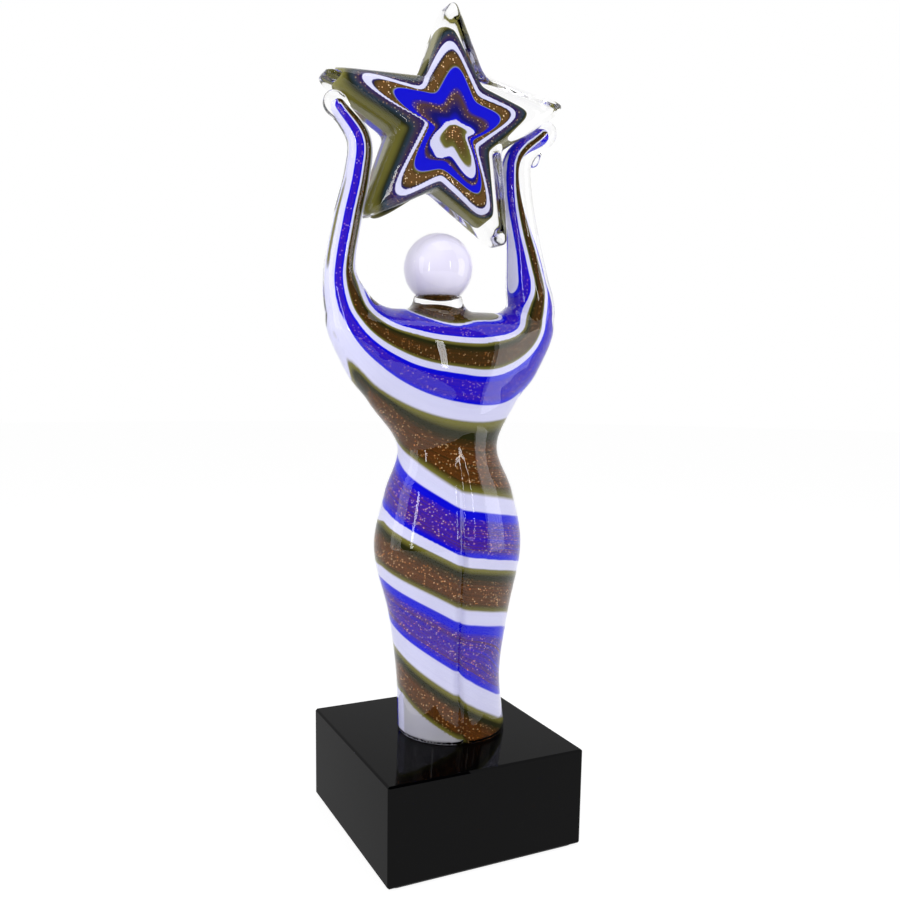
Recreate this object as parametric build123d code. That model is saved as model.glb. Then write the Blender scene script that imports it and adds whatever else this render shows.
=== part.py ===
"""Star trophy: a hot-worked glass figure that holds a glass star over its head.

Frame: +Z up, front towards -Y, origin at the centre of the pad that the trophy stands on.
Millimetres. Every coloured gather of glass is a solid of its own, and they meet face to face.
"""
from build123d import *
import math
import os

os.makedirs("parts", exist_ok=True)

# ---- Black crystal base ---------------------------------------------------------------
BASE_SIDE = 88.9            # square block
BASE_HEIGHT = 42.0
BASE_ARRIS = 0.8            # polished chamfer on every edge
PAD_THICKNESS = 1.0         # soft sheet stuck under the block
PAD_INSET = 2.0             # how far the sheet stays inside the block
PAD_CORNER = 3.0
BOND_THICKNESS = 0.3        # clear cured adhesive under the figure
BOND_INSET = 0.6            # how far the adhesive stays inside the foot

# ---- Trunk: stretches between its stations, from the foot upwards ---------------------
FOOT_TO_CALF = 26.5
CALF_TO_KNEE = 27.0
KNEE_TO_HIP = 29.0
HIP_TO_LOIN = 24.0
LOIN_TO_WAIST = 19.0
WAIST_TO_RIBS = 18.0
RIBS_TO_CHEST = 18.0
CHEST_TO_SHOULDER = 13.0
SHOULDER_TO_CROWN = 7.0

FOOT_HALF_WIDTH, FOOT_HALF_DEPTH = 24.0, 22.0
CALF_HALF_WIDTH, CALF_HALF_DEPTH = 23.2, 21.5
KNEE_HALF_WIDTH, KNEE_HALF_DEPTH = 27.2, 22.3
HIP_HALF_WIDTH, HIP_HALF_DEPTH = 33.2, 25.0
LOIN_HALF_WIDTH, LOIN_HALF_DEPTH = 28.4, 21.8
WAIST_HALF_WIDTH, WAIST_HALF_DEPTH = 22.1, 17.6
RIB_HALF_WIDTH, RIB_HALF_DEPTH = 33.2, 18.9
CHEST_HALF_WIDTH, CHEST_HALF_DEPTH = 45.2, 20.0
SHOULDER_HALF_WIDTH, SHOULDER_HALF_DEPTH = 50.2, 17.5
CROWN_HALF_WIDTH, CROWN_HALF_DEPTH = 46.0, 8.0

FOOT_OFFSET = 4.6           # the figure sways: its foot stands right of the base's middle
KNEE_OFFSET = 2.5
HIP_OFFSET = 1.8
WAIST_OFFSET = 0.8
CHEST_OFFSET = -1.2         # and its chest leans left

CREASE_DEPTH = 2.0          # groove pressed down the front and back that parts the legs
CREASE_WIDTH = 4.5
CASING_WALL = 3.0           # clear glass over the coloured core
TRUNK_RINGS = 36

# ---- Coloured bands wound round the trunk's core --------------------------------------
BAND_PITCH = 50.0           # rise of the winding in one turn
BLUE_BAND_HEIGHT = 17.5
NARROW_WHITE_HEIGHT = 4.5
OLIVE_BAND_HEIGHT = 20.0    # the second white band fills the rest of the pitch
BAND_START = 7.0            # lower edge of the blue band above the foot, at the right side
ROD_RADIUS = 11.5           # white rod in the middle that the bands are wound on
ROD_OFFSET = 1.5

# ---- Arms -----------------------------------------------------------------------------
ARM_ROOT_RADIUS = 12.0      # where the arms grow out of the chest
ARM_ROOT_COVER = 2.5        # chest glass outside the arm's root
SHOULDER_SWELL = 2.2        # how far the arms stand out past the shoulders
ELBOW_RISE = 13.0           # heights above the crown
FOREARM_RISE = 32.5
WRIST_RISE = 51.0
CUFF_RISE = 64.0

LEFT_SHOULDER_RADIUS = 9.6
LEFT_ELBOW_OUT, LEFT_ELBOW_RADIUS = 47.5, 6.6
LEFT_FOREARM_OUT, LEFT_FOREARM_RADIUS = 44.6, 5.8
LEFT_WRIST_OUT, LEFT_WRIST_RADIUS = 40.3, 5.2
LEFT_CUFF_OUT, LEFT_CUFF_RADIUS = 39.6, 4.8
LEFT_HAND_RADIUS = 4.6

RIGHT_SHOULDER_RADIUS = 11.0
RIGHT_ELBOW_OUT, RIGHT_ELBOW_RADIUS = 38.3, 9.3
RIGHT_FOREARM_OUT, RIGHT_FOREARM_RADIUS = 35.3, 7.0
RIGHT_WRIST_OUT, RIGHT_WRIST_RADIUS = 31.6, 6.7
RIGHT_CUFF_OUT, RIGHT_CUFF_RADIUS = 32.4, 6.0
RIGHT_HAND_RADIUS = 5.2

ARM_END_TAPER = 1.2         # how much thinner than the hand's drop the arm ends
HAND_BITE = 2.2             # how deep a hand's drop is pressed onto the star and the arm
CANE_WALL = 1.7             # clear glass round an arm's canes
CANE_SHIFT = 0.9            # the canes lie nearer the inner side of the arm
WHITE_CANE = 1.0            # thickness of the white cane between the blue and the olive
CANE_SPLIT = 0.5            # how far the white cane lies from the middle of the canes
ARM_RINGS = 20
CURTAIN_OVERRUN = 4.0       # how far the surfaces between the canes run past the arm's ends

DRIP_RADIUS = 3.0           # clear tail that hangs from the right hand
DRIP_LENGTH = 15.0
DRIP_TILT = 24.0            # degrees from upright

# ---- Neck and head --------------------------------------------------------------------
HEAD_RADIUS = 14.2
HEAD_SKIN = 1.2             # clear glass over the white ball
HEAD_OFFSET = -4.6
NECK_RADIUS = 9.8
NECK_RISE = 6.8             # rim of the neck above the crown
NECK_ROOT_RADIUS = 13.5
NECK_ROOT_DEPTH = 7.0       # how far its foot reaches down the shoulders
HEAD_SEAT = 3.9             # how deep the ball sits below the neck's rim

# ---- Star: a hand-pulled one, so no two points are alike -------------------------------
STAR_RISE = 71.0            # its centre above the crown
STAR_OFFSET = -2.2
STAR_THICKNESS = 20.0
STAR_EDGE_ROUND = 4.5
STAR_TIP_ROUND = 5.5
STAR_NOTCH_ROUND = 4.0
STAR_CORE_THICKNESS = 12.0
# direction in degrees, reach, clear glass beyond the colour
STAR_TIPS = ((90.0, 48.0, 6.0), (164.3, 54.5, 3.0), (225.2, 50.2, 3.0),
             (301.4, 50.4, 7.0), (375.8, 54.6, 11.0))
STAR_NOTCHES = ((122.0, 22.2), (188.0, 26.2), (256.7, 24.4), (345.0, 24.3), (418.6, 27.3))
NOTCH_CLEAR = 3.0
CORE_TIP_ROUND = 3.0
CORE_NOTCH_ROUND = 3.0
CORNER_STEPS = 6            # steps to find the corner behind a rounded tip
# nested gathers of the star, from outside: name, width at the tips, width at the notches
STAR_LAYERS = (("star_olive_layer", 12.0, 4.0), ("star_white_line", 2.0, 1.5),
               ("star_gold_layer", 6.0, 3.0), ("star_blue_layer", 7.0, 3.5),
               ("star_white_patch", 3.5, 2.0))

# ---- Heights that follow from the above -----------------------------------------------
BASE_TOP = PAD_THICKNESS + BASE_HEIGHT
FOOT_Z = BASE_TOP + BOND_THICKNESS
CALF_Z = FOOT_Z + FOOT_TO_CALF
KNEE_Z = CALF_Z + CALF_TO_KNEE
HIP_Z = KNEE_Z + KNEE_TO_HIP
LOIN_Z = HIP_Z + HIP_TO_LOIN
WAIST_Z = LOIN_Z + LOIN_TO_WAIST
RIB_Z = WAIST_Z + WAIST_TO_RIBS
CHEST_Z = RIB_Z + RIBS_TO_CHEST
SHOULDER_Z = CHEST_Z + CHEST_TO_SHOULDER
CROWN_Z = SHOULDER_Z + SHOULDER_TO_CROWN
STAR_Z = CROWN_Z + STAR_RISE
RIM_Z = CROWN_Z + NECK_RISE
HEAD_Z = RIM_Z - HEAD_SEAT + HEAD_RADIUS

# height, sideways offset, half width, half depth, crease
TRUNK = (
    (FOOT_Z, FOOT_OFFSET, FOOT_HALF_WIDTH, FOOT_HALF_DEPTH, CREASE_DEPTH),
    (CALF_Z, KNEE_OFFSET, CALF_HALF_WIDTH, CALF_HALF_DEPTH, CREASE_DEPTH),
    (KNEE_Z, KNEE_OFFSET, KNEE_HALF_WIDTH, KNEE_HALF_DEPTH, CREASE_DEPTH),
    (HIP_Z, HIP_OFFSET, HIP_HALF_WIDTH, HIP_HALF_DEPTH, CREASE_DEPTH),
    (LOIN_Z, HIP_OFFSET, LOIN_HALF_WIDTH, LOIN_HALF_DEPTH, CREASE_DEPTH / 2),
    (WAIST_Z, WAIST_OFFSET, WAIST_HALF_WIDTH, WAIST_HALF_DEPTH, 0.0),
    (RIB_Z, CHEST_OFFSET, RIB_HALF_WIDTH, RIB_HALF_DEPTH, 0.0),
    (CHEST_Z, CHEST_OFFSET, CHEST_HALF_WIDTH, CHEST_HALF_DEPTH, 0.0),
    (SHOULDER_Z, CHEST_OFFSET, SHOULDER_HALF_WIDTH, SHOULDER_HALF_DEPTH, 0.0),
    (CROWN_Z, CHEST_OFFSET, CROWN_HALF_WIDTH, CROWN_HALF_DEPTH, 0.0),
)


def smooth(stations, at):
    """Values at a place between stations, on a cubic through them (the place comes first)."""
    last = len(stations) - 1
    i = next((k for k in range(last - 1) if at <= stations[k + 1][0]), last - 1)
    before, low, high, after = (stations[max(i - 1, 0)], stations[i],
                                stations[i + 1], stations[min(i + 2, last)])
    span = high[0] - low[0]
    u = (at - low[0]) / span
    values = []
    for k in range(1, len(low)):
        slope_low = (high[k] - before[k]) / (high[0] - before[0]) * span
        slope_high = (after[k] - low[k]) / (after[0] - low[0]) * span
        values.append((2 * u**3 - 3 * u**2 + 1) * low[k] + (u**3 - 2 * u**2 + u) * slope_low
                      + (3 * u**2 - 2 * u**3) * high[k] + (u**3 - u**2) * slope_high)
    return values


# ---- Base -----------------------------------------------------------------------------
def base_pad():
    side = BASE_SIDE - 2 * PAD_INSET
    return extrude(RectangleRounded(side, side, PAD_CORNER), PAD_THICKNESS)


def base_block():
    block = Box(BASE_SIDE, BASE_SIDE, BASE_HEIGHT, align=(Align.CENTER, Align.CENTER, Align.MIN))
    return Pos(0, 0, PAD_THICKNESS) * chamfer(block.edges(), BASE_ARRIS)


def foot_bond():
    return extrude(trunk_ring(FOOT_Z, BOND_INSET), -BOND_THICKNESS)


# ---- Trunk ----------------------------------------------------------------------------
def trunk_ring(height, wall=0.0, points=5):
    """Oval with a shallow crease front and back, in four quarters, shrunk by a wall."""
    offset, width, depth, crease = smooth(TRUNK, height)
    width, depth = width - wall, depth - wall
    quarters = []
    for quarter in range(4):
        line = []
        for i in range(points + 1):
            turn = math.pi / 2 * (quarter + i / points)
            x = width * math.cos(turn)
            dip = crease * math.exp(-(x / CREASE_WIDTH) ** 2)
            line.append((offset + x, (depth - dip) * math.sin(turn), height))
        quarters.append(Spline(line))
    return make_face(quarters)


def trunk(wall=0.0):
    """The figure from its foot to the crown, through rings shrunk by a wall."""
    top = CROWN_Z - wall
    heights = [FOOT_Z + (top - FOOT_Z) * i / TRUNK_RINGS for i in range(TRUNK_RINGS + 1)]
    return loft([trunk_ring(height, wall) for height in heights], ruled=True)


def winding(low, high):
    """Left-handed helical slab between two heights of its edge, outside the rod."""
    reach = SHOULDER_HALF_WIDTH + abs(CHEST_OFFSET) + ROD_OFFSET
    turns = math.ceil((CROWN_Z - FOOT_Z) / BAND_PITCH) + 2
    start = FOOT_Z - BAND_PITCH + low
    edge = Polyline((ROD_OFFSET + ROD_RADIUS, 0, start), (ROD_OFFSET + reach, 0, start),
                    (ROD_OFFSET + reach, 0, start + high - low),
                    (ROD_OFFSET + ROD_RADIUS, 0, start + high - low), close=True)
    path = Helix(pitch=BAND_PITCH, height=BAND_PITCH * turns, radius=reach,
                 center=(ROD_OFFSET, 0, start), lefthand=True)
    return sweep(make_face(edge), path=path, is_frenet=True)


def trunk_bands(core):
    """The core parted into its white rod and the four bands wound on it."""
    blue_top = BAND_START + BLUE_BAND_HEIGHT
    narrow_top = blue_top + NARROW_WHITE_HEIGHT
    olive_top = narrow_top + OLIVE_BAND_HEIGHT
    edges = {"body_blue_band": (BAND_START, blue_top),
             "body_narrow_white_band": (blue_top, narrow_top),
             "body_olive_band": (narrow_top, olive_top),
             "body_wide_white_band": (olive_top, BAND_START + BAND_PITCH)}
    rod = Pos(ROD_OFFSET, 0, FOOT_Z) * Cylinder(
        ROD_RADIUS, CROWN_Z - FOOT_Z, align=(Align.CENTER, Align.CENTER, Align.MIN))
    pieces = {"body_core_rod": core & rod}
    for name, (low, high) in edges.items():
        pieces[name] = core & winding(low, high)
    return pieces


# ---- Star -----------------------------------------------------------------------------
def star_point(direction, reach):
    turn = math.radians(direction)
    return Vector(STAR_OFFSET + reach * math.cos(turn), 0, STAR_Z + reach * math.sin(turn))


def star_face(tip_reaches, notch_reaches, tip_round, notch_round):
    """Five-pointed outline whose rounded tips end at the reaches given.

    A sharp corner stands past its rounding by radius * (1 / sin(half its angle) - 1), and
    moving it out makes the angle smaller, so the corner is found in a few steps.
    """
    corners, rounds = [], []
    for k, (direction, _, _) in enumerate(STAR_TIPS):
        beside = [star_point(STAR_NOTCHES[j][0], notch_reaches[j]) for j in (k - 1, k)]
        corner = star_point(direction, tip_reaches[k])
        for _ in range(CORNER_STEPS):
            half_angle = math.radians((beside[0] - corner).get_angle(beside[1] - corner)) / 2
            pulled_out = tip_round * (1 / math.sin(half_angle) - 1)
            corner = star_point(direction, tip_reaches[k] + pulled_out)
        corners.append(corner)
        corners.append(star_point(STAR_NOTCHES[k][0], notch_reaches[k]))
        rounds += [tip_round, notch_round]
    return make_face(FilletPolyline(*corners, radius=rounds, close=True))


def slab(face, thickness):
    """A face in the star's plane, thickened to both sides of it."""
    return extrude(face, thickness / 2, dir=(0, 1, 0), both=True)


def star_body():
    outline = star_face([tip[1] for tip in STAR_TIPS], [notch[1] for notch in STAR_NOTCHES],
                        STAR_TIP_ROUND, STAR_NOTCH_ROUND)
    body = slab(outline, STAR_THICKNESS)
    rims = body.faces().sort_by(Axis.Y)
    return fillet(rims[0].edges() + rims[-1].edges(), STAR_EDGE_ROUND)


def star_layers():
    """The coloured gathers inside the star, each a ring round the next."""
    tips = [reach - clear for _, reach, clear in STAR_TIPS]
    notches = [reach - NOTCH_CLEAR for _, reach in STAR_NOTCHES]
    outer = slab(star_face(tips, notches, CORE_TIP_ROUND, CORE_NOTCH_ROUND), STAR_CORE_THICKNESS)
    pieces, core = {}, outer
    for name, at_tip, at_notch in STAR_LAYERS:
        tips = [reach - at_tip for reach in tips]
        notches = [reach - at_notch for reach in notches]
        face = star_face(tips, notches, CORE_TIP_ROUND, CORE_NOTCH_ROUND)
        inner = slab(face, STAR_CORE_THICKNESS)
        pieces[name] = outer - inner
        outer = inner
    pieces["star_centre"] = outer
    return pieces, core


# ---- Hands and arms -------------------------------------------------------------------
def hand_centre(tip, radius):
    """A drop pressed from below onto one of the star's two upper side tips."""
    direction, reach, _ = STAR_TIPS[tip]
    centre = star_point(direction, reach - STAR_TIP_ROUND)
    return centre - Vector(0, 0, STAR_TIP_ROUND + radius - HAND_BITE)


LEFT_HAND = hand_centre(1, LEFT_HAND_RADIUS)
RIGHT_HAND = hand_centre(4, RIGHT_HAND_RADIUS)


def arm_stations(side, hand, shoulder_radius, hand_radius, bends):
    """Places and radii down an arm: distance along it, x, z, radius."""
    root_out = CHEST_HALF_WIDTH - ARM_ROOT_RADIUS - ARM_ROOT_COVER
    root = (CHEST_OFFSET + side * root_out, CHEST_Z, ARM_ROOT_RADIUS)
    shoulder_out = SHOULDER_HALF_WIDTH + SHOULDER_SWELL - shoulder_radius
    shoulder = (CHEST_OFFSET + side * shoulder_out, CROWN_Z, shoulder_radius)
    end = (hand.X - side * HAND_BITE / 2, hand.Z - HAND_BITE / 2, hand_radius - ARM_END_TAPER)
    rings = [root, shoulder] + [(side * out, CROWN_Z + rise, r) for out, rise, r in bends] + [end]
    along, stations = 0.0, []
    for k, ring in enumerate(rings):
        if k:
            along += math.dist(ring[:2], rings[k - 1][:2])
        stations.append((along,) + ring)
    return stations


LEFT_ARM = arm_stations(-1, LEFT_HAND, LEFT_SHOULDER_RADIUS, LEFT_HAND_RADIUS, (
    (LEFT_ELBOW_OUT, ELBOW_RISE, LEFT_ELBOW_RADIUS),
    (LEFT_FOREARM_OUT, FOREARM_RISE, LEFT_FOREARM_RADIUS),
    (LEFT_WRIST_OUT, WRIST_RISE, LEFT_WRIST_RADIUS),
    (LEFT_CUFF_OUT, CUFF_RISE, LEFT_CUFF_RADIUS)))
RIGHT_ARM = arm_stations(1, RIGHT_HAND, RIGHT_SHOULDER_RADIUS, RIGHT_HAND_RADIUS, (
    (RIGHT_ELBOW_OUT, ELBOW_RISE, RIGHT_ELBOW_RADIUS),
    (RIGHT_FOREARM_OUT, FOREARM_RISE, RIGHT_FOREARM_RADIUS),
    (RIGHT_WRIST_OUT, WRIST_RISE, RIGHT_WRIST_RADIUS),
    (RIGHT_CUFF_OUT, CUFF_RISE, RIGHT_CUFF_RADIUS)))


def arm_line(stations, inward=0.0):
    """Ring centres, headings, inward directions and radii, moved towards the inner side."""
    side = math.copysign(1.0, stations[0][1])
    length = stations[-1][0]
    line = []
    for i in range(ARM_RINGS + 1):
        x, z, radius = smooth(stations, length * i / ARM_RINGS)
        step = length / ARM_RINGS / 4
        ahead = smooth(stations, length * i / ARM_RINGS + step)
        behind = smooth(stations, length * i / ARM_RINGS - step)
        heading = Vector(ahead[0] - behind[0], 0, ahead[1] - behind[1]).normalized()
        across = Vector(-side * heading.Z, 0, side * heading.X)
        line.append((Vector(x, 0, z) + across * inward, heading, across, radius))
    return line


def arm(stations, wall=0.0, inward=0.0):
    """Round tube down an arm, thinned by a wall."""
    rings = [Plane(origin=centre, x_dir=across, z_dir=heading) * Circle(radius - wall)
             for centre, heading, across, radius in arm_line(stations, inward)]
    return loft(rings, ruled=True)


def inner_side(stations, inward):
    """Everything on the inner side of a curtain that follows the arm and runs past its ends."""
    line = arm_line(stations, inward)
    points = [ring[0] for ring in line]
    points[0] -= line[0][1] * CURTAIN_OVERRUN
    points[-1] += line[-1][1] * CURTAIN_OVERRUN
    edge = Spline(points)
    closing = Polyline(points[-1], (0, 0, points[-1].Z), (0, 0, points[0].Z), points[0])
    return extrude(make_face([edge, closing]), 2 * ARM_ROOT_RADIUS, dir=(0, 1, 0), both=True)


def arm_canes(stations, core, split, inner_name, white_name, outer_name):
    """The coloured core of an arm parted lengthwise into three canes."""
    inner = inner_side(stations, split + WHITE_CANE / 2)
    inner_and_white = inner_side(stations, split - WHITE_CANE / 2)
    return {inner_name: core & inner, white_name: (core & inner_and_white) - inner,
            outer_name: core - inner_and_white}


def hand(centre, radius):
    return Pos(*centre) * Sphere(radius)


def drip():
    """Slim drop hung from the right hand, along the outside of the arm."""
    half = DRIP_LENGTH / 2
    oval = Ellipse(DRIP_RADIUS, half) & Pos(DRIP_RADIUS, 0) * Rectangle(2 * DRIP_RADIUS, DRIP_LENGTH)
    drop = revolve(Plane.XZ * oval, Axis.Z)
    return Pos(*RIGHT_HAND) * Rot(0, DRIP_TILT, 0) * Pos(0, 0, -half) * drop


# ---- Neck and head --------------------------------------------------------------------
def ball(radius):
    return Pos(HEAD_OFFSET, 0, HEAD_Z) * Sphere(radius)


def neck():
    height = NECK_RISE + NECK_ROOT_DEPTH
    return Pos(HEAD_OFFSET, 0, CROWN_Z - NECK_ROOT_DEPTH) * Cone(
        NECK_ROOT_RADIUS, NECK_RADIUS, height, align=(Align.CENTER, Align.CENTER, Align.MIN))


# ---- Assembly -------------------------------------------------------------------------
def trophy():
    """Every piece by name, each cut by the ones that it lies against."""
    body, body_core = trunk(), trunk(CASING_WALL)
    left, right = arm(LEFT_ARM), arm(RIGHT_ARM)
    left_canes = arm(LEFT_ARM, CANE_WALL, CANE_SHIFT) - body_core
    right_canes = arm(RIGHT_ARM, CANE_WALL, CANE_SHIFT) - body_core
    layers, star_core = star_layers()
    star = star_body()
    left_hand = hand(LEFT_HAND, LEFT_HAND_RADIUS) - left - star
    right_hand = hand(RIGHT_HAND, RIGHT_HAND_RADIUS) - right - star

    pieces = {"base_pad": base_pad(), "base_block": base_block(), "foot_bond": foot_bond()}
    pieces["body_casing"] = body - body_core - left_canes - right_canes
    pieces.update(trunk_bands(body_core))
    pieces["neck_collar"] = neck() - body - ball(HEAD_RADIUS)
    pieces["head_casing"] = ball(HEAD_RADIUS) - ball(HEAD_RADIUS - HEAD_SKIN)
    pieces["head_core"] = ball(HEAD_RADIUS - HEAD_SKIN)
    pieces["left_arm_casing"] = left - left_canes - body
    pieces.update(arm_canes(LEFT_ARM, left_canes, CANE_SHIFT + CANE_SPLIT, "left_arm_olive_cane",
                            "left_arm_white_cane", "left_arm_blue_cane"))
    pieces["right_arm_casing"] = right - right_canes - body
    pieces.update(arm_canes(RIGHT_ARM, right_canes, CANE_SHIFT - CANE_SPLIT, "right_arm_blue_cane",
                            "right_arm_white_cane", "right_arm_olive_cane"))
    pieces["left_hand"] = left_hand
    pieces["right_hand"] = right_hand
    pieces["right_hand_drip"] = drip() - right - hand(RIGHT_HAND, RIGHT_HAND_RADIUS) - star
    pieces["star_casing"] = star - star_core - left - right
    pieces.update(layers)
    return pieces


for name, piece in trophy().items():
    export_step(piece, f"parts/{name}.step")
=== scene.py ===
"""Star trophy of hot-worked art glass on a black crystal base.

A clear glass figure with coloured bands wound inside it stands on the base. Its raised arms
hold a thick glass star over a white ball head. Lengths in the classes are millimetres in the
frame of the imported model, and a mesh is written in metres.
"""
import logging
import math
from dataclasses import dataclass, field
from enum import Enum
from functools import lru_cache
from typing import Callable

import bpy
import numpy as np
from mathutils import Matrix, Vector


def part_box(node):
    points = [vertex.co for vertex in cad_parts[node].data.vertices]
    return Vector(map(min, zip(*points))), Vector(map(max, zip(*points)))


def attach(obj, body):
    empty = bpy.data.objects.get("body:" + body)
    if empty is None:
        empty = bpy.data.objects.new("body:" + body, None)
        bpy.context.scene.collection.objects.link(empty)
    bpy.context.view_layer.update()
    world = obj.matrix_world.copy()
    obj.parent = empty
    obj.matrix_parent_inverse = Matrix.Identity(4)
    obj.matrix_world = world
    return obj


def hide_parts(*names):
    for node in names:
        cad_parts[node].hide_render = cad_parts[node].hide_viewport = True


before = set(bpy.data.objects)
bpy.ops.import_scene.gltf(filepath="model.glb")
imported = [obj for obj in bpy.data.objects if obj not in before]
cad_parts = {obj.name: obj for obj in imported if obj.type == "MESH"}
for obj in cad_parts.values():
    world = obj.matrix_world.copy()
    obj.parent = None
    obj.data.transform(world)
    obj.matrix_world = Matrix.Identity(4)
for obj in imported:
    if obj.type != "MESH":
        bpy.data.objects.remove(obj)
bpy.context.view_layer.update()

MM = 0.001
log = logging.getLogger("star_trophy")


# ---- Shapes ---------------------------------------------------------------------------
@lru_cache(maxsize=None)
def box_mm(node: str) -> tuple[np.ndarray, np.ndarray]:
    """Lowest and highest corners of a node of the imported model, in millimetres."""
    low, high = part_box(node)
    return np.array(low) / MM, np.array(high) / MM


def smooth(stations: np.ndarray, at: np.ndarray) -> np.ndarray:
    """Values between stations, on cubics whose slope at a station is that of its neighbours.

    Args:
        stations: One row per station, the place first and then the values there.
        at: Places to read, held to the first and the last station.

    Returns:
        One row of values per place.
    """
    place, value = stations[:, 0], stations[:, 1:]
    at = np.clip(at, place[0], place[-1])
    i = np.clip(np.searchsorted(place, at) - 1, 0, len(place) - 2)
    before, after = np.maximum(i - 1, 0), np.minimum(i + 2, len(place) - 1)
    span = place[i + 1] - place[i]
    u = ((at - place[i]) / span)[:, None]
    slope_low = (value[i + 1] - value[before]) * (span / (place[i + 1] - place[before]))[:, None]
    slope_high = (value[after] - value[i]) * (span / (place[after] - place[i]))[:, None]
    return ((2 * u**3 - 3 * u**2 + 1) * value[i] + (u**3 - 2 * u**2 + u) * slope_low
            + (3 * u**2 - 2 * u**3) * value[i + 1] + (u**3 - u**2) * slope_high)


def ease(value: np.ndarray, start: float, end: float) -> np.ndarray:
    """Smooth step: 0 at start, 1 at end, level at both."""
    t = np.clip((value - start) / (end - start), 0, 1)
    return t * t * (3 - 2 * t)


def melt(one: np.ndarray, other: np.ndarray, reach: float) -> np.ndarray:
    """Smaller of two distances, rounded where they are within a reach of each other.

    The rounding is reach / 4 deep where both are the same, and falls off as a square.
    """
    near = np.clip(reach - np.abs(one - other), 0, None) / reach
    return np.minimum(one, other) - near**2 * reach / 4


def carve(one: np.ndarray, other: np.ndarray, reach: float) -> np.ndarray:
    """Larger of two distances, rounded the same way: what is inside both."""
    return -melt(-one, -other, reach)


Distance = Callable[[np.ndarray], np.ndarray]


def gradient(distance: Distance, points: np.ndarray, step: float = 0.05) -> np.ndarray:
    """Slope of a distance along each axis, from a small step forward and one back."""
    parts = []
    for axis in np.eye(3) * step:
        parts.append((distance(points + axis) - distance(points - axis)) / (2 * step))
    return np.stack(parts, axis=1)


def skin(distance: Distance, low: np.ndarray, high: np.ndarray,
         step: float) -> tuple[np.ndarray, np.ndarray]:
    """Closed surface where a distance is zero.

    A vertex stands in every grid cell that the surface passes through, and a square face
    crosses every grid edge that it cuts. The vertices are evened out over their faces and
    pulled back along the slope of the distance until they lie on the surface.

    Args:
        distance: Signed distance in millimetres, less than zero inside.
        low: Lowest corner of the space searched.
        high: Highest corner.
        step: Grid spacing.

    Returns:
        Vertices, and faces as rows of four vertex numbers that point outwards.
    """
    block = 4
    counts = [int(math.ceil((b - a) / step / block) + 1) * block for a, b in zip(low, high)]
    axes = [a - step + step * np.arange(n) for a, n in zip(low, counts)]
    # the middles of blocks of cells say which blocks the surface can pass through
    middles = [axis.reshape(-1, block).mean(axis=1) for axis in axes]
    coarse = np.stack(np.meshgrid(*middles, indexing="ij"), axis=-1)
    rough = distance(coarse.reshape(-1, 3)).reshape(coarse.shape[:3])
    for axis in range(3):
        rough = np.repeat(rough, block, axis=axis)
    inside = rough < 0
    close = np.argwhere(np.abs(rough) < block * step * 1.6)
    for some in np.array_split(close, len(close) // 100000 + 1):
        points = np.stack([axes[k][some[:, k]] for k in range(3)], axis=1)
        inside[tuple(some.T)] = distance(points) < 0

    filled = np.zeros([n - 1 for n in counts], np.int8)
    for corner in np.ndindex(2, 2, 2):
        filled += inside[tuple(slice(c, n - 1 + c) for c, n in zip(corner, counts))]
    cut = (filled > 0) & (filled < 8)
    number = np.full(cut.shape, -1)
    number[cut] = np.arange(cut.sum())
    cells = np.argwhere(cut)
    points = np.stack([axes[k][cells[:, k]] + step / 2 for k in range(3)], axis=1)

    faces = []
    for along in range(3):
        one, two = (along + 1) % 3, (along + 2) % 3
        lead = np.moveaxis(inside, (along, one, two), (0, 1, 2))[:, 1:-1, 1:-1]
        cell = np.moveaxis(number, (along, one, two), (0, 1, 2))
        crossing = lead[:-1] != lead[1:]
        i, j, k = np.nonzero(crossing)
        quad = np.stack([cell[i, j, k], cell[i, j + 1, k],
                         cell[i, j + 1, k + 1], cell[i, j, k + 1]], axis=1)
        outward = lead[:-1][crossing]
        faces.append(np.where(outward[:, None], quad, quad[:, ::-1]))
    quads = np.concatenate(faces)

    share = np.zeros(len(points))
    np.add.at(share, quads.ravel(), 1)
    for _ in range(4):
        middle = points[quads].mean(axis=1)
        evened = np.zeros_like(points)
        np.add.at(evened, quads.ravel(), np.repeat(middle, 4, axis=0))
        points = evened / share[:, None]
        slope = gradient(distance, points)
        steep = np.maximum((slope**2).sum(axis=1), 0.2)
        move = distance(points) / steep
        points = points - slope * np.clip(move, -step, step)[:, None]
    return points, quads


def make_piece(name: str, points: np.ndarray, faces: np.ndarray) -> bpy.types.Object:
    """Smooth-shaded mesh object with its place in its mesh.

    Args:
        name: Name of the piece.
        points: Vertices in millimetres.
        faces: Rows of three or four vertex numbers.

    Returns:
        The new object, at the origin.
    """
    mesh = bpy.data.meshes.new(name)
    mesh.from_pydata((points * MM).tolist(), [], faces.tolist())
    mesh.validate()
    mesh.polygons.foreach_set("use_smooth", np.ones(len(mesh.polygons), bool))
    piece = bpy.data.objects.new(name, mesh)
    bpy.context.scene.collection.objects.link(piece)
    return piece


def fasten(piece: bpy.types.Object, material: bpy.types.Material, slot: str,
           *nodes: str) -> None:
    """Give a piece its material, and put it in the place of nodes of the model."""
    piece.data.materials.append(material)
    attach(piece, "root")
    if nodes:
        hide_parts(*nodes)
    log.info("%s: %d faces", piece.name, len(piece.data.polygons))


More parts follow.
